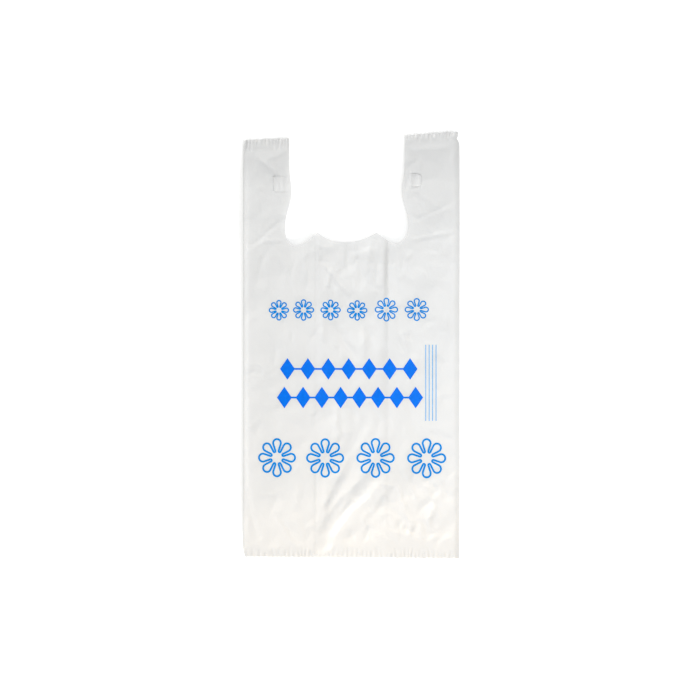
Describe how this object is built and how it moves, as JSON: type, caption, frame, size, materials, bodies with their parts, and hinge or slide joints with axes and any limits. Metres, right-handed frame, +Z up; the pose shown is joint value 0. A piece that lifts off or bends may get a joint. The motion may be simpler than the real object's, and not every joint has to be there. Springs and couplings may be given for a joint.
{
  "type": "plastic carrier bag",
  "caption": "Vest-style plastic carrier bag lying flat, with folded-in side gussets, two sealed handle loops, a scalloped mouth and a plain flower print.",
  "frame": {"origin": "on the table, under the centre of the bag's bounding box", "axes": "+Z up from the table through the front film, +Y along the bag towards the handles, +X across the bag to the right of the print"},
  "size_m": [0.29, 0.5689, 0.0101],
  "materials": {
    "film": "thin slightly see-through white polyethylene film with a soft gloss",
    "ink": "bright blue printing ink on film",
    "pale_ink": "pale blue printing ink on film"
  },
  "bodies": {
    "root": {"film_bag": "film", "print_small_flower_1": "ink", "print_small_flower_2": "ink", "print_small_flower_3": "ink", "print_small_flower_4": "ink", "print_small_flower_5": "ink", "print_small_flower_6": "ink", "print_large_flower_1": "ink", "print_large_flower_2": "ink", "print_large_flower_3": "ink", "print_large_flower_4": "ink", "print_lozenge_row_1": "ink", "print_lozenge_row_2": "ink", "print_rule_1": "pale_ink", "print_rule_2": "pale_ink", "print_rule_3": "pale_ink", "print_rule_4": "pale_ink"}
  },
  "joints": []
}
